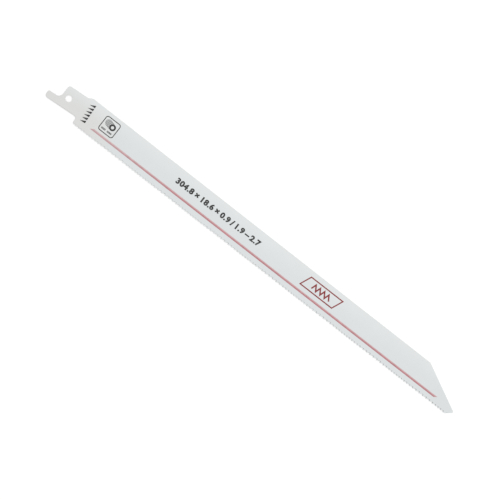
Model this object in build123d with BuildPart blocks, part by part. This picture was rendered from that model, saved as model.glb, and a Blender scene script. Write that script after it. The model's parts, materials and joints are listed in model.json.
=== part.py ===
from build123d import *
import math
import os

# Reciprocating saw blade, punched, milled and set in one strip of high carbon steel.
# The origin is the centre of the shank hole, in the middle of the strip's thickness.
# X runs along the toothed edge from the shank to the nose, Y from the teeth to the back,
# and Z out of the printed face. All sizes are in millimetres and degrees.

# Strip
strip_thickness = 0.9
blade_length = 304.8
blade_width = 18.6  # over the tooth tips
back_height = 8.5  # from the middle of the hole up to the back edge
edge_break = 0.12  # tumbled edge of the punched outline

# Shank, canted against the body so that the teeth bite on the pull stroke
shank_width = 12.7
shank_cant = 4.1
hole_diameter = 4.0
hole_to_end = 11.8
hole_to_notch = 4.2
hole_to_heel = 9.8
finger_height = 4.1
finger_lower_round = 2.0
finger_upper_round = 1.0
notch_root_round = 2.85
notch_mouth_round = 1.5
hole_to_ramp = 8.5  # from the hole to the foot of the ramp that leads up to the back edge
ramp_angle = 33.0
ramp_round = 1.0
heel_root_round = 1.5
heel_round = 1.9
wall_share = 0.9  # most that the two rounds of a short wall may take of it

# Nose
nose_run = 30.0  # length of the slanted edge along the blade
nose_lift = 3.3  # from the tooth line up to the foremost point
nose_corner_round = 5.0
nose_tip_round = 0.7
nose_relief_run = 4.1  # from the foremost point back to the end of the tooth line

# Teeth, whose pitch swings between fine and coarse along the edge to calm the cut
pitch_fine = 1.9
pitch_coarse = 2.7
pitch_wave_length = 38.6
hole_to_finest_pitch = 19.0
hole_to_first_tooth = 12.0
gullet_share = 0.36  # depth of a gullet as a share of its own pitch
gullet_round = 0.3
rake_angle = 3.0
set_height = 0.45  # from the tooth tips up to the line about which they are bent
set_offset = 0.18  # sideways reach of a set tooth beyond the strip's face
set_order = (1, -1, 0)  # bent up, bent down, left straight

# Lines that follow from these sizes
half_thickness = strip_thickness / 2
back_line = back_height
tooth_line = back_height - blade_width
bend_line = tooth_line + set_height
shank_half = shank_width / 2
finger_top = finger_height - shank_half
nose_front = blade_length - hole_to_end
relief_end = nose_front - nose_relief_run


def canted(across, x):
    """Height at x of the line that lies across millimetres above the shank's centre line."""
    cant = math.radians(shank_cant)
    return across / math.cos(cant) + x * math.tan(cant)


def rounds_on(wall, first_round, second_round):
    """The rounds at a wall's two ends, both made smaller where the wall is too short for them."""
    fit = min(1, wall_share * wall / (first_round + second_round))
    return first_round * fit, second_round * fit


def tangent_point(start, centre, radius, side):
    """Where a line from start touches a circle, with side 1 left of its centre and -1 right."""
    reach = centre - start
    turn = side * math.degrees(math.asin(radius / reach.length))
    tangent_length = math.sqrt(reach.length**2 - radius**2)
    return start + reach.normalized().rotate(Axis.Z, turn) * tangent_length


def pitch_at(x):
    """Distance from a tooth at x to the next, on a cosine wave along the edge."""
    phase = 2 * math.pi * (x - hole_to_finest_pitch) / pitch_wave_length
    return pitch_fine + (pitch_coarse - pitch_fine) * (1 - math.cos(phase)) / 2


def gullet_centre(tip, next_tip):
    """Centre of the round at a gullet's bottom, which touches the next tooth's raked face."""
    rise = gullet_share * (next_tip - tip) - gullet_round
    rake = math.radians(rake_angle)
    x = next_tip + rise * math.tan(rake) - gullet_round / math.cos(rake)
    return Vector(x, tooth_line + rise)


def gullet_face(tip, next_tip):
    """Milled gap from a tip along its tooth's back, over the round and down the next raked face."""
    this_tip = Vector(tip, tooth_line)
    tip_ahead = Vector(next_tip, tooth_line)
    centre = gullet_centre(tip, next_tip)
    back_end = tangent_point(this_tip, centre, gullet_round, 1)
    rake_start = tangent_point(tip_ahead, centre, gullet_round, -1)
    with BuildSketch() as gullet:
        with BuildLine():
            Line(this_tip, back_end)
            ThreePointArc(back_end, centre + Vector(0, gullet_round), rake_start)
            Polyline(rake_start, tip_ahead, this_tip)
        make_face()
    return gullet.sketch


# The tips, one pitch after another along the tooth line, and the gullets, one ahead of each
# tip. The first gullet is as long as the first pitch and runs out into the heel's round.
tips = [hole_to_first_tooth]
while tips[-1] + pitch_at(tips[-1]) < relief_end:
    tips.append(tips[-1] + pitch_at(tips[-1]))
gullets = list(zip([tips[0] - pitch_at(tips[0]), *tips[:-1]], tips))
gullet_faces = [gullet_face(start, tip) for start, tip in gullets]

# Corners of the punched outline, from the heel round the shank to the slanted nose
heel_foot = Vector(hole_to_heel, tooth_line)
heel_root = Vector(hole_to_heel, canted(-shank_half, hole_to_heel))
finger_lower_end = Vector(-hole_to_end, canted(-shank_half, -hole_to_end))
finger_upper_end = Vector(-hole_to_end, canted(finger_top, -hole_to_end))
notch_root = Vector(-hole_to_notch, canted(finger_top, -hole_to_notch))
notch_mouth = Vector(-hole_to_notch, canted(shank_half, -hole_to_notch))
ramp_foot = Vector(hole_to_ramp, canted(shank_half, hole_to_ramp))
ramp_run = (back_line - ramp_foot.Y) / math.tan(math.radians(ramp_angle))
ramp_head = Vector(hole_to_ramp + ramp_run, back_line)
nose_corner = Vector(nose_front - nose_run, back_line)
relief_corner = Vector(relief_end, tooth_line)
heel_rounds = rounds_on(heel_root.Y - heel_foot.Y, heel_round, heel_root_round)
ramp_rounds = rounds_on((ramp_head - ramp_foot).length, ramp_round, ramp_round)

# The foremost point is the front of a small circle that both nose edges touch
nose_centre = Vector(nose_front - nose_tip_round, tooth_line + nose_lift)
nose_point = nose_centre + Vector(nose_tip_round, 0)
slant_end = tangent_point(nose_corner, nose_centre, nose_tip_round, 1)
relief_start = tangent_point(relief_corner, nose_centre, nose_tip_round, -1)

# Punched strip with its gullets milled, drawn as thick as the set teeth reach
with BuildPart() as toothed_blank:
    with BuildSketch():
        with BuildLine():
            FilletPolyline(
                relief_corner,
                heel_foot,
                heel_root,
                finger_lower_end,
                finger_upper_end,
                notch_root,
                notch_mouth,
                ramp_foot,
                ramp_head,
                nose_corner,
                slant_end,
                radius=[
                    *heel_rounds,
                    finger_lower_round,
                    finger_upper_round,
                    notch_root_round,
                    notch_mouth_round,
                    *ramp_rounds,
                    nose_corner_round,
                ],
            )
            ThreePointArc(slant_end, nose_point, relief_start)
            Line(relief_start, relief_corner)
        make_face()
        add(gullet_faces, mode=Mode.SUBTRACT)
    extrude(amount=half_thickness + set_offset, both=True)

# Form that the setting tool leaves: a flat strip above the bend line, and below it one
# block for each tooth, which leans up, down or not at all and ends inside the gullets
gullet_middles = [gullet_centre(start, tip).X for start, tip in gullets]
leans = [set_order[index % len(set_order)] * set_offset for index in range(len(gullets) - 1)]
blocks = [(-hole_to_end, gullet_middles[0], 0)]
blocks += zip(gullet_middles[:-1], gullet_middles[1:], leans)
blocks += [(gullet_middles[-1], nose_front, 0)]

with BuildPart() as set_form:
    with BuildSketch():
        with Locations((-hole_to_end, bend_line)):
            Rectangle(blade_length, back_line - bend_line, align=(Align.MIN, Align.MIN))
    extrude(amount=half_thickness, both=True)
    tooth_blocks = []
    for start, end, lean in blocks:
        with BuildSketch(Plane.YZ.offset(start)) as section:
            with BuildLine():
                Polyline(
                    (bend_line, half_thickness),
                    (tooth_line, half_thickness + lean),
                    (tooth_line, lean - half_thickness),
                    (bend_line, -half_thickness),
                    close=True,
                )
            make_face()
        tooth_blocks.append(extrude(section.sketch, amount=end - start, mode=Mode.PRIVATE))
    add(tooth_blocks)

# The blade is what the outline and the set form share. The break along its back edge carries
# on round the nose and the shank, and stops at the teeth.
with BuildPart() as blade:
    add(toothed_blank.part)
    add(set_form.part, mode=Mode.INTERSECT)
    chamfer(edges().filter_by(Axis.X).group_by(Axis.Y)[-1], edge_break)
    Hole(hole_diameter / 2)

blade.part.label = "blade"
os.makedirs("parts", exist_ok=True)
export_step(blade.part, "parts/blade.step")

print("teeth:", len(tips), "first and last tip:", tips[0], round(tips[-1], 2))
print("solids:", len(blade.part.solids()), "volume:", round(blade.part.volume, 1))
print("size:", blade.part.bounding_box().size)
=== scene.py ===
# %% [markdown]
# # Dressing a reciprocating saw blade
#
# A reciprocating saw blade is one strip of steel, so its whole form is in the CAD model that
# this file loads: the canted shank with its pin hole, the set teeth whose pitch swings along
# the edge, and the slanted nose. What is left for Blender is what the strip gets after it is
# punched: a coat of pale enamel, bare steel where the teeth were milled, and ink in two
# colours on one face. Lengths on the blade are written in millimetres, and `mm` turns them
# into metres. The places of the floor and the lamp are in metres.

# %% Load the blade
import json
import math

import bmesh
import bpy
import numpy as np
from mathutils import Matrix, Vector


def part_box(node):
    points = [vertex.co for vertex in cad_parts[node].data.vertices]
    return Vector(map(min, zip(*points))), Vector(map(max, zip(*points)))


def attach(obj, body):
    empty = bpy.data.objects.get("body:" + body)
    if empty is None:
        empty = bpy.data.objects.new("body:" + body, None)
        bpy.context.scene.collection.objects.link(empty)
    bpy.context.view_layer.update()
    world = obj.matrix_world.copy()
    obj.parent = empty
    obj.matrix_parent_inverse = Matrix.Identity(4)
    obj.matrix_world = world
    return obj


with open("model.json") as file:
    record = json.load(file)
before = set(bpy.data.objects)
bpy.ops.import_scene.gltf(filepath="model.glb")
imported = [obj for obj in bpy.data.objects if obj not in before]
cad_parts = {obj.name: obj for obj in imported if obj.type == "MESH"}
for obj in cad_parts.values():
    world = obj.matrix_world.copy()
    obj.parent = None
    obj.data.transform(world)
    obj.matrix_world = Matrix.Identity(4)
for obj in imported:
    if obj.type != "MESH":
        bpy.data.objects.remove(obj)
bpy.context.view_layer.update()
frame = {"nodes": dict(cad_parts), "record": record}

mm = 0.001
blade = frame["nodes"]["blade"]
low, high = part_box("blade")
mounts = {mount["name"]: mount for mount in frame["record"]["mounts"]}
face_z = mounts["shank_printed_face"]["pos_m"][2]
print("blade from", [round(v / mm, 2) for v in low], "to", [round(v / mm, 2) for v in high])
print("printed face at", face_z / mm, "mm, material slots:", len(blade.material_slots))

# %% [markdown]
# ## Ink as thin films
#
# The print on the blade is screen printed, which leaves a film of ink a few hundredths of a
# millimetre thick. It could be a mask in the enamel's material, but a mask has no edge to
# catch the light and can't be measured or exported as a shape. So each print is a mesh: a
# closed shell whose foot sinks a little into the enamel, so that nothing shows under it.
# Every shell but the numbers is a grid of points, rows by columns, whose columns join up in a
# ring. Its rows either join up as well, as on a frame, or end in a flat cap at each end.

# %% One piece from closed grids
same_point = 0.0001 * mm  # two points nearer than this are made one


def grid_faces(rows, columns, wrapped):
    """Quads between neighbouring rows and columns, with a cap at each end unless it is wrapped.

    A point's number is its row times the count of columns, plus its column. The last column
    is joined to the first, and in a wrapped grid the last row is too.
    """
    spans = rows if wrapped else rows - 1
    row, column = np.meshgrid(np.arange(spans), np.arange(columns), indexing="ij")
    next_row, next_column = (row + 1) % rows, (column + 1) % columns
    corners = [(row, column), (next_row, column), (next_row, next_column), (row, next_column)]
    quads = np.stack([r * columns + c for r, c in corners], axis=-1).reshape(-1, 4).tolist()
    ring = list(range(columns))
    last_ring = [(rows - 1) * columns + c for c in reversed(ring)]
    return quads if wrapped else quads + [ring, last_ring]


def finish_piece(name, mesh):
    """Turns a mesh's faces outwards and makes it a piece that rides on the blade."""
    shell = bmesh.new()
    shell.from_mesh(mesh)
    bmesh.ops.remove_doubles(shell, verts=shell.verts, dist=same_point)
    bmesh.ops.recalc_face_normals(shell, faces=shell.faces)
    volume = shell.calc_volume(signed=True) / mm**3
    open_edges = sum(not edge.is_manifold for edge in shell.edges)
    shell.to_mesh(mesh)
    shell.free()
    piece = bpy.data.objects.new(name, mesh)
    bpy.context.scene.collection.objects.link(piece)
    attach(piece, "root")
    print(f"{name}: {len(mesh.polygons)} faces, {volume:.3f} mm3, open edges {open_edges}")
    return piece


def piece_from_grids(name, grids):
    """Joins closed grids, each given as (points, wrapped), into one mesh."""
    points, faces, count = [], [], 0
    for grid, wrapped in grids:
        rows, columns = grid.shape[:2]
        points.append(grid.reshape(-1, 3))
        own_faces = grid_faces(rows, columns, wrapped)
        faces += [[count + corner for corner in face] for face in own_faces]
        count += rows * columns
    mesh = bpy.data.meshes.new(name)
    mesh.from_pydata(np.concatenate(points).tolist(), [], faces)
    return finish_piece(name, mesh)


# %% The section of a film
film_proud = 0.02 * mm
film_sunk = 0.01 * mm
film_shoulder = 0.04 * mm
rise = face_z + np.array([-film_sunk, film_proud / 2, film_proud])
inset = np.array([0, 0, film_shoulder])
print("film's flank above the face:", ((rise - face_z) / mm).round(3), "mm")


def line_grid(path, width, closed=False, end_skew=0.0):
    """A printed line of one width along a path on the printed face.

    At each point the film reaches half a width to both sides, square to the mean of the two
    directions that meet there, and longer by one over the cosine of half the turn, so that a
    mitred line keeps its width. Across the line the height goes up one flank, over the top
    and down the other. At the ends each point also moves along the line by end_skew times
    its distance across, which cuts them on a slant.
    """
    path = np.asarray(path, float)
    steps = np.diff(path, axis=0, append=path[:1]) if closed else np.diff(path, axis=0)
    along = steps / np.linalg.norm(steps, axis=1, keepdims=True)
    after = along if closed else np.vstack([along, along[-1:]])
    before = np.roll(along, 1, axis=0) if closed else np.vstack([along[:1], along])
    mean = before + after
    mean /= np.linalg.norm(mean, axis=1, keepdims=True)
    mitre = 1 / np.sum(mean * after, axis=1, keepdims=True)
    side = np.stack([-mean[:, 1], mean[:, 0]], axis=1) * mitre
    across = np.concatenate([inset - width / 2, (width / 2 - inset)[::-1]])
    flat = path[:, None] + side[:, None] * across[:, None]
    if not closed:
        flat[[0, -1]] += mean[[0, -1], None] * across[:, None] * end_skew
    height = np.broadcast_to(np.concatenate([rise, rise[::-1]]), flat.shape[:2])
    return np.dstack([flat, height]), closed


def patch_grid(outline):
    """A filled shape: its outline at the foot, halfway up the flank, and drawn in at the top.

    A point of the top is the outline's own, moved by the shoulder's width towards the mean of
    all the outline's points.
    """
    outline = np.asarray(outline, float)
    inward = outline.mean(axis=0) - outline
    inward /= np.linalg.norm(inward, axis=1, keepdims=True)
    flat = outline + inward * inset[:, None, None]
    height = np.broadcast_to(rise[:, None], flat.shape[:2])
    return np.dstack([flat, height]), False


# %% [markdown]
# ## The red stripe
#
# A red stripe runs along the teeth, a few millimetres above them, from behind the shank to
# the foot of the nose. Both its ends are cut on a slant, and the screen lay a touch askew on
# the blade, so it comes slightly nearer to the teeth towards the nose. It is one straight
# line, so two points and a width say all of it. That its ink fades towards the back, and runs
# thin near the shank, is left to its material.

# %% Red stripe
stripe_width = 1.4 * mm
stripe_start = np.array([20.65, -5.5]) * mm
stripe_end = np.array([278.45, -5.85]) * mm
stripe_skew = 1.5

stripe_grid = line_grid([stripe_start, stripe_end], stripe_width, end_skew=stripe_skew)
red_stripe = piece_from_grids("red_stripe", [stripe_grid])

# %% [markdown]
# ## The pictogram
#
# Beside the shank a rounded frame holds a small picture of what the blade cuts: here a length
# of tube, whose end is a bold ring and whose body is shaded with fine parallel lines, as in an
# engraving. Fine lines print more cleanly than a grey, and from a step away they read as one.
# Under the tube are two plain bars, each made of two fine lines for the same reason. The
# frame is a closed path of four quarter circles, so its rows join up and it has no caps.

# %% Pictogram frame
frame_middle = np.array([27.8, 1.43]) * mm
frame_half = np.array([4.85, 4.6]) * mm
frame_round = 1.3 * mm
frame_line = 0.5 * mm
quarter_steps = 9


def rounded_square(middle, half, radius):
    """Four quarter circles, one for each corner of a box that reaches half from its middle.

    Their centres lie half less radius from the middle each way, and each arc starts a quarter
    turn on from the one before.
    """
    quarter = np.arange(4)[:, None] * math.pi / 2
    turn = quarter + np.linspace(0, math.pi / 2, quarter_steps)
    diagonal = quarter + math.pi / 4
    centres = np.sqrt(2) * (half - radius) * np.dstack([np.cos(diagonal), np.sin(diagonal)])
    arcs = centres + radius * np.dstack([np.cos(turn), np.sin(turn)])
    return middle + arcs.reshape(-1, 2)


frame_path = rounded_square(frame_middle, frame_half, frame_round)
frame_grid = line_grid(frame_path, frame_line, closed=True)
pictogram_frame = piece_from_grids("pictogram_frame", [frame_grid])

# %% Tube in the pictogram
tube_end = np.array([29.4, 2.15]) * mm
tube_radius = 1.45 * mm
tube_wall = 1.05 * mm
tube_length = 3.6 * mm
tube_turn = math.radians(165)
shade_lines = 7
shade_width = 0.3 * mm
ring_steps = 32

# The ring is a circle: the tube's end plus its radius times the cosine and sine of the turn.
ring_turn = np.arange(ring_steps) * 2 * math.pi / ring_steps
ring = tube_end + tube_radius * np.stack([np.cos(ring_turn), np.sin(ring_turn)], axis=1)
tube_outside = tube_radius + tube_wall / 2
tube_along = np.array([math.cos(tube_turn), math.sin(tube_turn)])
tube_across = np.array([-tube_along[1], tube_along[0]])

# A shading line starts on the ring's outer circle, so its reach along the tube is the root of
# that radius squared less its own place across the tube squared.
places = np.linspace(-1, 1, shade_lines)[:, None] * (tube_outside - shade_width / 2)
reach = np.sqrt(tube_outside**2 - places**2)
shade_starts = tube_end + tube_across * places + tube_along * reach
shade_ends = tube_end + tube_across * places + tube_along * (reach + tube_length)
shading = [line_grid(path, shade_width) for path in np.stack([shade_starts, shade_ends], axis=1)]
tube_grids = [line_grid(ring, tube_wall, closed=True)] + shading
tube_picture = piece_from_grids("tube_picture", tube_grids)

# %% Bars under the tube
bar_line = 0.38 * mm
bar_rows = np.array([-1.65, -1.09]) * mm
bar_spans = np.array([(24.1, 27.0), (28.1, 31.2)]) * mm
bars = [line_grid([(start, y), (end, y)], bar_line) for y in bar_rows for start, end in bar_spans]
pictogram_bars = piece_from_grids("pictogram_bars", bars)

# %% [markdown]
# ## Plain numbers
#
# A blade's size is printed on its face in plain numbers: the length, width and thickness in
# millimetres, read here from the loaded model, and the finest and coarsest pitch of the
# teeth. Figures could be built from lines as the other print is, but a text object has good
# curves for them already, and pushing its outlines outwards a little makes them bold. It is
# turned into a mesh while it is large, then scaled to the height of the print and moved to its
# place in the mesh itself, so that the object stays at the origin.

# %% Numbers as a mesh
finest_pitch = 1.9
coarsest_pitch = 2.7
figure_spacing = 1.1
word_spacing = 0.5
outline_push = 0.05
text_depth = 0.5  # any depth does, because it is scaled to the film's own
curve_steps = 3  # at this count every pushed outline stays closed

length, width, thickness = (high.x - low.x) / mm, (high.y - low.y) / mm, 2 * face_z / mm
size_text = f"{length:.1f} × {width:.1f} × {thickness:.1f} / {finest_pitch} – {coarsest_pitch}"
writing = bpy.data.curves.new("size_numbers", "FONT")
writing.body = size_text
writing.space_character = figure_spacing
writing.space_word = word_spacing
writing.offset = outline_push
writing.extrude = text_depth
writing.resolution_u = curve_steps
holder = bpy.data.objects.new("numbers_holder", writing)
bpy.context.scene.collection.objects.link(holder)
drawn = holder.evaluated_get(bpy.context.evaluated_depsgraph_get())
numbers_mesh = bpy.data.meshes.new_from_object(drawn)
bpy.data.objects.remove(holder)
print("numbers:", size_text, "with", len(numbers_mesh.vertices), "points")

# %% Numbers in their place
numbers_left, numbers_right = 76.5 * mm, 137.9 * mm
numbers_foot = -0.54 * mm
numbers_height = 3.9 * mm

# A corner that is some share of the way from the lowest to the highest, along each axis, goes
# to the same share of the print's own box.
corners = np.empty(len(numbers_mesh.vertices) * 3)
numbers_mesh.vertices.foreach_get("co", corners)
corners = corners.reshape(-1, 3)
corner_low, corner_high = corners.min(axis=0), corners.max(axis=0)
share = (corners - corner_low) / (corner_high - corner_low)
place_low = np.array([numbers_left, numbers_foot, rise[0]])
place_high = np.array([numbers_right, numbers_foot + numbers_height, rise[-1]])
numbers_mesh.vertices.foreach_set("co", (place_low + share * (place_high - place_low)).ravel())
size_numbers = finish_piece("size_numbers", numbers_mesh)

# %% [markdown]
# ## The slanted box
#
# Further along, a red box with slanted ends holds a plain saw-tooth line. Both are lines along
# a path. The box is closed, and the saw-tooth line is worked out as two rows of points, feet
# and tips, that are shuffled together.

# %% Slanted box
box_foot, box_top = -2.16 * mm, 4.98 * mm
box_foot_ends = np.array([170.85, 194.75]) * mm
box_slant = 3.05 * mm
box_line = 0.72 * mm
box_corners = [
    (box_foot_ends[0], box_foot),
    (box_foot_ends[1], box_foot),
    (box_foot_ends[1] + box_slant, box_top),
    (box_foot_ends[0] + box_slant, box_top),
]
box_grid = line_grid(box_corners, box_line, closed=True)
slanted_box = piece_from_grids("slanted_box", [box_grid])

# %% Saw-tooth line
zigzag_teeth = 4
zigzag_line = 0.9 * mm
zigzag_foot, zigzag_top = -0.3 * mm, 3.0 * mm
zigzag_left, zigzag_right = 177.9 * mm, 190.9 * mm
zigzag_lean = 1.1 * mm

feet_x = np.linspace(zigzag_left, zigzag_right, zigzag_teeth + 1)
feet = np.stack([feet_x, np.full(zigzag_teeth + 1, zigzag_foot)], axis=1)
tips = np.stack([feet_x[:-1] + zigzag_lean, np.full(zigzag_teeth, zigzag_top)], axis=1)
zigzag = np.empty((2 * zigzag_teeth + 1, 2))
zigzag[0::2], zigzag[1::2] = feet, tips
sawtooth_line = piece_from_grids("sawtooth_line", [line_grid(zigzag, zigzag_line)])

# %% [markdown]
# ## The row of tooth marks
#
# Next to the shank a short row of black marks runs across the blade, square to the shank and
# so a few degrees off square to the body. Each is a right-angled triangle, like a saw tooth
# seen from the side. The row is one list of places along one leaning line.

# %% Tooth marks
marks = 6
mark_row_middle = np.array([13.4, 0.25]) * mm
mark_pitch = 2.05 * mm
mark_length = 3.5 * mm
mark_width = 1.55 * mm
mark_cant = math.radians(4.1)

# A right-angled triangle is half of a box, and its corners stand about the box's middle.
mark = np.array([(-0.5, -0.5), (0.5, -0.5), (0.5, 0.5)]) * (mark_length, mark_width)
turned = np.array(Matrix.Rotation(mark_cant, 2))
row = (np.arange(marks) - (marks - 1) / 2) * mark_pitch
mark_middles = mark_row_middle + np.stack([np.zeros(marks), row], axis=1) @ turned.T
mark_grids = [patch_grid(middle + mark @ turned.T) for middle in mark_middles]
tooth_marks = piece_from_grids("tooth_marks", mark_grids)

# %% [markdown]
# ## Nodes
#
# All the finishes are worked out from Object coordinates, which on this blade are metres from
# the middle of the pin hole. A few helpers keep the materials short. One adds a node and sets
# or wires its inputs, and the others are the steps that the finishes are made of: arithmetic,
# a smooth fade, a blend of two colours, and a bump. Colours are written as they are seen, and
# one more helper turns them into the linear values that the shader takes.

# %% Adding nodes
def add(tree, kind, inputs=None, **properties):
    """Adds a shader node, sets its properties, and sets each input or wires a socket to it."""
    made = tree.nodes.new("ShaderNode" + kind)
    for name, value in properties.items():
        setattr(made, name, value)
    for name, value in (inputs or {}).items():
        if isinstance(value, bpy.types.NodeSocket):
            tree.links.new(value, made.inputs[name])
        else:
            made.inputs[name].default_value = value
    return made


def new_material(name):
    """A material, its node tree and its shader."""
    material = bpy.data.materials.new(name)
    material.use_nodes = True
    return material, material.node_tree, material.node_tree.nodes["Principled BSDF"]


def object_place(tree):
    """Where a point of the surface is, in metres from the middle of the pin hole."""
    return add(tree, "TexCoord").outputs["Object"]


def dress(piece, material):
    """Gives a piece one material, in the slot it has or in a new one."""
    if piece.material_slots:
        piece.material_slots[0].material = material
    else:
        piece.data.materials.append(material)


# %% Values and masks
def work_out(tree, operation, *values):
    """One step of arithmetic on numbers and sockets, by Blender's name for it."""
    return add(tree, "Math", dict(enumerate(values)), operation=operation).outputs[0]


def between(tree, value, start, end, first=0.0, second=1.0):
    """First before start, second after end, and a smooth step from one to the other."""
    inputs = {"Value": value, "From Min": start, "From Max": end, "To Min": first, "To Max": second}
    return add(tree, "MapRange", inputs, interpolation_type="SMOOTHSTEP").outputs[0]


def fade_out(tree, value, start, end):
    """1 before start, 0 after end, and a smooth step from one to the other."""
    return between(tree, value, start, end, 1.0, 0.0)


def spread(tree, value, least, most):
    """A value from 0 to 1 stretched in a straight line, so that it runs from least to most."""
    return add(tree, "MapRange", {"Value": value, "To Min": least, "To Max": most}).outputs[0]


def noise(tree, vector, scale, detail=2.0):
    """Soft noise about 0.5, with scale as its cells in a metre."""
    return add(tree, "TexNoise", {"Vector": vector, "Scale": scale, "Detail": detail}).outputs[0]


# %% Vectors, colours and bumps
def parts(tree, vector):
    """A vector's three parts, by the names X, Y and Z."""
    return add(tree, "SeparateXYZ", {0: vector}).outputs


def dot(tree, first, second):
    """How far one vector reaches along the other: the sum of their parts multiplied in pairs."""
    return add(tree, "VectorMath", {0: first, 1: second}, operation="DOT_PRODUCT").outputs["Value"]


def scaled(tree, colour, factor):
    """A colour made lighter or darker by a factor."""
    return add(tree, "VectorMath", {0: colour, "Scale": factor}, operation="SCALE").outputs[0]


def blend_colours(tree, share, first, second):
    """The first colour where share is 0, the second where it is 1.

    A Mix node has sockets for each kind of data. Its colours are 6 and 7, and come out at 2.
    """
    return add(tree, "Mix", {0: share, 6: first, 7: second}, data_type="RGBA").outputs[2]


def bumped(tree, height, depth, normal=None):
    """The normal of a surface that height raises by up to depth, over another bump or alone."""
    inputs = {"Height": height, "Distance": depth}
    if normal is not None:
        inputs["Normal"] = normal
    return add(tree, "Bump", inputs).outputs[0]


def seen(red, green, blue):
    """Linear colour of a surface that is seen as these three shades, each from 0 to 255.

    By the sRGB rule a shade, as a share of 255, is divided by 12.92 while it is at most
    0.04045. Above that it gets 0.055, is divided by 1.055 and is raised to the power 2.4.
    """
    shades = np.array([red, green, blue]) / 255
    linear = np.where(shades <= 0.04045, shades / 12.92, ((shades + 0.055) / 1.055) ** 2.4)
    return (*linear.tolist(), 1.0)


print("a grey seen as 128 is", round(seen(128, 128, 128)[0], 3), "to the shader")

# %% [markdown]
# ## Two shared effects
#
# Paint and ink dry with a faint unevenness: their gloss breaks up over about half a
# millimetre, and their tone drifts over centimetres. Rolled and ground steel has long fine
# lines along one direction, which also show through a thin coat. Both effects are wanted in
# more than one place, so each is a node group, built once. A group puts out only values, and
# the material decides what they do. Ripples, Drift and Cells count the cells of noise in a
# metre, and Cells does so along each axis, so that a line is long where its count is low.

# %% Wet film group and drawn lines group
film_ripples = 2000.0
film_drift = 60.0
rolled_cells = (30.0, 3000.0, 3000.0)


def new_group(name, inputs, outputs):
    """An empty node group, with its inputs given as {name: (type, value)} and its outputs."""
    group = bpy.data.node_groups.new(name, "ShaderNodeTree")
    for socket, (kind, value) in inputs.items():
        made = group.interface.new_socket(socket, in_out="INPUT", socket_type="NodeSocket" + kind)
        if value is not None:
            made.default_value = value
    for socket in outputs:
        group.interface.new_socket(socket, in_out="OUTPUT", socket_type="NodeSocketFloat")
    entry, result = group.nodes.new("NodeGroupInput"), group.nodes.new("NodeGroupOutput")
    return group, entry.outputs, result.inputs


film_inputs = {
    "Vector": ("Vector", None),
    "Ripples": ("Float", film_ripples),
    "Drift": ("Float", film_drift),
}
wet_film, film_in, film_out = new_group("wet_film", film_inputs, ["Height", "Tone"])
ripples = noise(wet_film, film_in["Vector"], film_in["Ripples"])
drift = noise(wet_film, film_in["Vector"], film_in["Drift"], detail=4.0)
wet_film.links.new(ripples, film_out["Height"])
wet_film.links.new(drift, film_out["Tone"])

line_inputs = {"Vector": ("Vector", None), "Cells": ("Vector", rolled_cells)}
drawn_lines, lines_in, lines_out = new_group("drawn_lines", line_inputs, ["Lines"])
stretch = {0: lines_in["Vector"], 1: lines_in["Cells"]}
stretched = add(drawn_lines, "VectorMath", stretch, operation="MULTIPLY").outputs[0]
drawn_lines.links.new(noise(drawn_lines, stretched, 1.0, detail=3.0), lines_out["Lines"])
print("groups:", [group.name for group in bpy.data.node_groups])

# %% [markdown]
# ## Enamelled steel
#
# The strip is coated first, and its teeth are milled and set after that. So the flanks of the teeth
# keep their enamel down to the tips, where the setting tool chips it, while the walls of the
# gullets are bare. A dark rim round the bottom of each gullet is painted shade. The blade could
# have a second material on the faces of its teeth, but its mesh isn't cut where the enamel ends. So
# one material covers it all, and masks turn enamel into steel. It is made in four steps: where the
# steel is bare, where the coat is worn and where shade is painted, what colour each has, and how
# each shines.

# %% Patterns on the blade
milling_cells = (9000.0, 9000.0, 300.0)

enamelled_steel, tree, shader = new_material("enamelled_steel")
place = object_place(tree)
xyz = parts(tree, place)
milling_inputs = {"Vector": place, "Cells": milling_cells}
film = add(tree, "Group", {"Vector": place}, node_tree=wet_film).outputs
rolling = add(tree, "Group", {"Vector": place}, node_tree=drawn_lines).outputs["Lines"]
milling = add(tree, "Group", milling_inputs, node_tree=drawn_lines).outputs["Lines"]
print("cells of the milling marks in a metre:", milling_cells)

# %% [markdown]
# ### Where the steel is bare
#
# Two masks say it. One is the height over the tips, which noise makes ragged, as chips are.
# The other is which way a face turns: a wall of the punched strip has a normal that lies flat,
# so its height part is near 0, and up to the top of the gullets such a wall was milled.

# %% Bare steel
tooth_tips_y = low.y
enamel_ends = 0.1 * mm
enamel_blur = 0.08 * mm
enamel_wander = 0.3 * mm
chip_cells = 1500.0
wall_tilt = (0.3, 0.6)
gullet_reach = 1.1 * mm
gullet_blur = 0.05 * mm

above_tips = work_out(tree, "SUBTRACT", xyz["Y"], tooth_tips_y)
wander = work_out(tree, "SUBTRACT", noise(tree, place, chip_cells), 0.5)
ragged = work_out(tree, "MULTIPLY_ADD", wander, enamel_wander, above_tips)
near_tips = fade_out(tree, ragged, enamel_ends, enamel_ends + enamel_blur)
normal = add(tree, "NewGeometry").outputs["True Normal"]
tilt = work_out(tree, "ABSOLUTE", parts(tree, normal)["Z"])
in_gullet_height = fade_out(tree, above_tips, gullet_reach, gullet_reach + gullet_blur)
in_gullet = work_out(tree, "MULTIPLY", fade_out(tree, tilt, *wall_tilt), in_gullet_height)
bare = work_out(tree, "MAXIMUM", near_tips, in_gullet)
print("tips at", round(tooth_tips_y / mm, 2), "mm, walls bare for", gullet_reach / mm, "mm")
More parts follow.
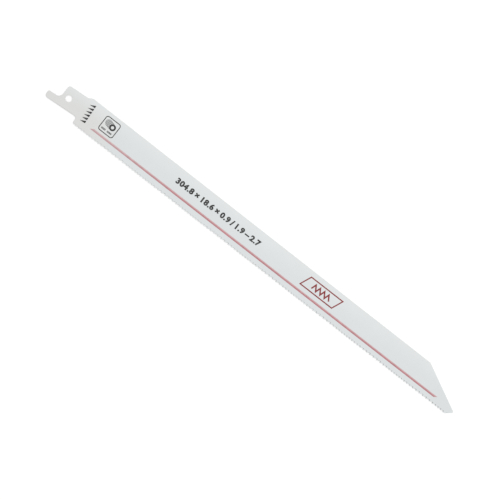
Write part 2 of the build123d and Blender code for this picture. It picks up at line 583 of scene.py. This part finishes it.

# %% [markdown]
# ### Where the coat is worn, and where shade is painted
#
# Along every punched edge the coat draws thin. The edges could be marked by hand, but there are
# hundreds round the teeth, so a Bevel node finds them: it gives the normal that a rounded edge
# would have, and the dot product with the true one drops below 1 only there. The same drop, kept to
# the height of the gullets' bottoms, is a dark rim of painted shade in the gullets. Painted shade
# also makes the coat greyest along the edges of the shank that face the teeth, where the rounded
# edges turn away from the light.

# %% Thin edges, painted shade in the gullets and along the shank's edges
edge_round = 0.3 * mm
edge_samples = 8
edge_flatness = (0.75, 0.98)
rim_flatness = (0.9, 0.995)
rim_heights = (0.35 * mm, 0.65 * mm)
rim_blur = 0.1 * mm
thin_edge_share = 0.6
turned_to_teeth = (-0.35, -0.1)
shank_edge_shade_reach = (8 * mm, 11 * mm)

rounded = add(tree, "Bevel", {"Radius": edge_round}, samples=edge_samples).outputs[0]
flatness = dot(tree, rounded, normal)
thin_edge = work_out(tree, "MULTIPLY", fade_out(tree, flatness, *edge_flatness), thin_edge_share)
above_flanks = between(tree, above_tips, *rim_heights)
below_rim = fade_out(tree, above_tips, gullet_reach, gullet_reach + rim_blur)
by_gullet = work_out(tree, "MULTIPLY", above_flanks, below_rim)
# Painted shade: a dark rim at the height of the gullets' bottoms, standing in for the shade that
# falls in the gullets.
gullet_shade = work_out(tree, "MULTIPLY", fade_out(tree, flatness, *rim_flatness), by_gullet)
# Painted shade: the coat is darkened along the shank's edges that face the teeth, where they turn
# away from the light.
faces_teeth = fade_out(tree, parts(tree, rounded)["Y"], *turned_to_teeth)
behind_heel = fade_out(tree, xyz["X"], *shank_edge_shade_reach)
shank_edge_shade = work_out(tree, "MULTIPLY", faces_teeth, behind_heel)
print("edges rounded by", edge_round / mm, "mm for the masks, nodes so far:", len(tree.nodes))

# %% [markdown]
# ### Colour
#
# The enamel is a little grey over the shank, and a painted sheen makes it whiter towards the back
# edge. Each of these tones is laid over the one before it by its own mask, the painted shade along
# the shank's edges and in the gullets too.

# %% Colour of enamel and steel
enamel_colour = seen(227, 231, 232)
# painted sheen: the enamel whiter towards the back edge
back_sheen_colour = seen(232, 235, 235)
shank_colour = seen(226, 227, 225)
thin_edge_colour = seen(205, 208, 208)
# painted shade along the shank's edges that face the teeth
shank_edge_shade_colour = seen(194, 196, 194)
# painted shade in the gullets
gullet_shade_colour = seen(110, 112, 114)
steel_colour = seen(176, 178, 181)
shank_reach = (18 * mm, 42 * mm)
back_sheen_start = -2 * mm
coat_tones = (0.97, 1.03)
steel_tones = (0.75, 1.2)

layers = [
    (fade_out(tree, xyz["X"], *shank_reach), shank_colour),
    # painted sheen towards the back edge
    (between(tree, xyz["Y"], back_sheen_start, high.y), back_sheen_colour),
    (thin_edge, thin_edge_colour),
    # painted shade along the shank's edges
    (shank_edge_shade, shank_edge_shade_colour),
    # painted shade in the gullets
    (gullet_shade, gullet_shade_colour),
]
coat = enamel_colour
for mask, colour in layers:
    coat = blend_colours(tree, mask, coat, colour)
coat = scaled(tree, coat, spread(tree, film["Tone"], *coat_tones))
steel = scaled(tree, steel_colour[:3], spread(tree, milling, *steel_tones))
tree.links.new(blend_colours(tree, bare, coat, steel), shader.inputs["Base Color"])
tree.links.new(bare, shader.inputs["Metallic"])
print("tones laid over the enamel:", len(layers))

# %% [markdown]
# ### Shine
#
# The enamel is satin with a thin gloss on top, which the Coat of the shader gives, and the
# milled steel has none. Three bumps follow each other: the orange peel of the enamel, the
# rolling lines that show through it, and the milling marks on the bare walls.

# %% Shine of enamel and steel
enamel_roughs = (0.34, 0.46)
steel_roughs = (0.25, 0.5)
coat_gloss = 0.3
coat_rough = 0.2
peel_depth = 0.006 * mm
rolled_depth = 0.002 * mm
milled_depth = 0.01 * mm

# For plain numbers the Mix node's sockets are 2 and 3, and they come out at 0.
roughs = {
    0: bare,
    2: spread(tree, film["Height"], *enamel_roughs),
    3: spread(tree, milling, *steel_roughs),
}
rough = add(tree, "Mix", roughs, data_type="FLOAT").outputs[0]
tree.links.new(rough, shader.inputs["Roughness"])
tree.links.new(between(tree, bare, 0.0, 1.0, coat_gloss, 0.0), shader.inputs["Coat Weight"])
shader.inputs["Coat Roughness"].default_value = coat_rough

peel = bumped(tree, film["Height"], peel_depth)
rolled = bumped(tree, rolling, rolled_depth, peel)
milled = bumped(tree, work_out(tree, "MULTIPLY", milling, bare), milled_depth, rolled)
tree.links.new(milled, shader.inputs["Normal"])
dress(blade, enamelled_steel)
print("enamelled steel:", len(tree.nodes), "nodes")

# %% [markdown]
# ## Printing ink
#
# All the inks are one finish in several colours: a satin film, slightly uneven in tone, with
# pinholes where the screen's mesh left the enamel bare, so that its own colour shows. One
# function makes each ink. What differs is a small function that gives the colour at a place:
# black and red are the same all over, and the stripe's red is full along its lower side and
# fades to rose towards the back, by the distance from the stripe's middle line. Near the shank,
# where the print began, the screen gave less ink, so there the enamel shows through.

# %% Ink
ink_ripples = 3000.0
ink_drift = 400.0
ink_tones = (0.8, 1.2)
ink_roughs = (0.35, 0.55)
ink_depth = 0.004 * mm
pinhole_cells = 9000.0
pinhole_levels = (0.75, 0.8)  # only the highest peaks of the noise reach these


def printing_ink(name, colour_at):
    """Satin ink whose tone drifts and whose pinholes show the enamel.

    colour_at takes the node tree and the place, and gives the colour before it drifts.
    """
    material, tree, shader = new_material(name)
    place = object_place(tree)
    ink_film = {"Vector": place, "Ripples": ink_ripples, "Drift": ink_drift}
    film = add(tree, "Group", ink_film, node_tree=wet_film).outputs
    pinholes = between(tree, noise(tree, place, pinhole_cells, detail=0.0), *pinhole_levels)
    ink = scaled(tree, colour_at(tree, place), spread(tree, film["Tone"], *ink_tones))
    tree.links.new(blend_colours(tree, pinholes, ink, enamel_colour), shader.inputs["Base Color"])
    tree.links.new(spread(tree, film["Height"], *ink_roughs), shader.inputs["Roughness"])
    tree.links.new(bumped(tree, film["Height"], ink_depth), shader.inputs["Normal"])
    print(f"{name}: {len(tree.nodes)} nodes")
    return material


def one_colour(*shades):
    """The same colour everywhere."""
    return lambda tree, place: seen(*shades)[:3]


# %% Colour of the stripe
stripe_red = seen(190, 123, 129)
stripe_rose = seen(214, 173, 175)
red_until = -0.2 * mm  # from the stripe's middle line
rose_from = 0.35 * mm
thin_share = 0.25
thin_start, thin_end = 15 * mm, 90 * mm
stripe_along = (stripe_end - stripe_start) / np.linalg.norm(stripe_end - stripe_start)
stripe_side = np.array([-stripe_along[1], stripe_along[0]])
stripe_middle = float(stripe_start @ stripe_side)
print("stripe askew by", round(math.degrees(math.atan2(*stripe_along[::-1])), 3), "degrees")


def stripe_fade(tree, place):
    """Red below the stripe's middle line and rose above it, both thin near the shank."""
    side = dot(tree, place, (*stripe_side, 0))
    rose = between(tree, side, stripe_middle + red_until, stripe_middle + rose_from)
    ink = blend_colours(tree, rose, stripe_red, stripe_rose)
    thin = between(tree, parts(tree, place)["X"], thin_start, thin_end, thin_share, 0.0)
    return blend_colours(tree, thin, ink, enamel_colour)


# %% Inks on their pieces
black_ink = printing_ink("black_ink", one_colour(34, 33, 33))
red_ink = printing_ink("red_ink", one_colour(142, 29, 33))
stripe_ink = printing_ink("stripe_ink", stripe_fade)
dress(red_stripe, stripe_ink)
for piece in (slanted_box, sawtooth_line):
    dress(piece, red_ink)
for piece in (pictogram_frame, tube_picture, pictogram_bars, size_numbers, tooth_marks):
    dress(piece, black_ink)

# %% [markdown]
# ## Floor and light
#
# The blade lies on a white floor that carries on past the picture. The floor is lit like the
# blade, so it takes a shadow, and seen by the camera or in a reflection it gets the rest of
# the way to white. The sky is an even white and one broad lamp adds a direction, together at
# a level at which a colour shows about as it is written.

# %% Floor
floor_half = 3.0
bpy.ops.mesh.primitive_plane_add(size=2 * floor_half, location=(0, 0, 0))
floor = bpy.context.object
floor.name = "floor"
floor.data.transform(Matrix.Translation((0, 0, low.z)))

floor_white = 0.6
seen_white = 1.12
floor_rough = 0.9
white = (1, 1, 1, 1)
floor_paint, tree, shader = new_material("floor_white")
shader.inputs["Base Color"].default_value = (floor_white, floor_white, floor_white, 1)
shader.inputs["Roughness"].default_value = floor_rough
shader.inputs["Specular IOR Level"].default_value = 0.0
shader.inputs["Emission Color"].default_value = white
rays = add(tree, "LightPath").outputs
seen_rays = work_out(tree, "MAXIMUM", rays["Is Camera Ray"], rays["Is Glossy Ray"])
glow = work_out(tree, "MULTIPLY", seen_rays, seen_white - floor_white)
tree.links.new(glow, shader.inputs["Emission Strength"])
dress(floor, floor_paint)
print("floor at", round(low.z / mm, 2), "mm")

# %% Light
sky_strength = 0.72
lamp_place = Vector((0.25, 0.55, 1.1))
lamp_aim = Vector((0.14, 0, 0))
lamp_size = 0.8
lamp_watts = 4.0

world = bpy.data.worlds.new("sky")
bpy.context.scene.world = world
world.use_nodes = True
sky = world.node_tree.nodes["Background"]
sky.inputs["Color"].default_value = white
sky_rays = add(world.node_tree, "LightPath").outputs
sky_level = between(world.node_tree, sky_rays["Is Camera Ray"], 0.0, 1.0, sky_strength, 1.0)
world.node_tree.links.new(sky_level, sky.inputs["Strength"])

lamp_data = bpy.data.lights.new("broad_lamp", "AREA")
lamp_data.size = lamp_size
lamp_data.energy = lamp_watts
lamp = bpy.data.objects.new("broad_lamp", lamp_data)
lamp_turn = (lamp_place - lamp_aim).to_track_quat("Z", "Y").to_matrix().to_4x4()
lamp.matrix_world = Matrix.Translation(lamp_place) @ lamp_turn
bpy.context.scene.collection.objects.link(lamp)
print("lamp", round((lamp_place - lamp_aim).length, 2), "m from the blade")

# %% [markdown]
# ## Camera
#
# The camera looks almost straight down from a few degrees to the shank's side, and is rolled
# so that the blade runs across the picture from the shank at the upper left to the nose at
# the lower right.

# %% Camera
camera_aim = Vector((135.24, -4.65, 0)) * mm
camera_distance = 688.9 * mm
camera_lean = math.radians(7.864)
camera_roll = math.radians(37.92)
camera_lens = 85

camera_data = bpy.data.cameras.new("camera")
camera_data.lens = camera_lens
camera = bpy.data.objects.new("camera", camera_data)
camera_turn = Matrix.Rotation(-camera_lean, 4, "Y") @ Matrix.Rotation(camera_roll, 4, "Z")
camera_back = Matrix.Translation((0, 0, camera_distance))
camera.matrix_world = Matrix.Translation(camera_aim) @ camera_turn @ camera_back
bpy.context.scene.collection.objects.link(camera)
bpy.context.scene.camera = camera
bpy.context.scene.view_settings.view_transform = "Standard"
print("camera at", [round(v, 3) for v in camera.matrix_world.translation], "m")
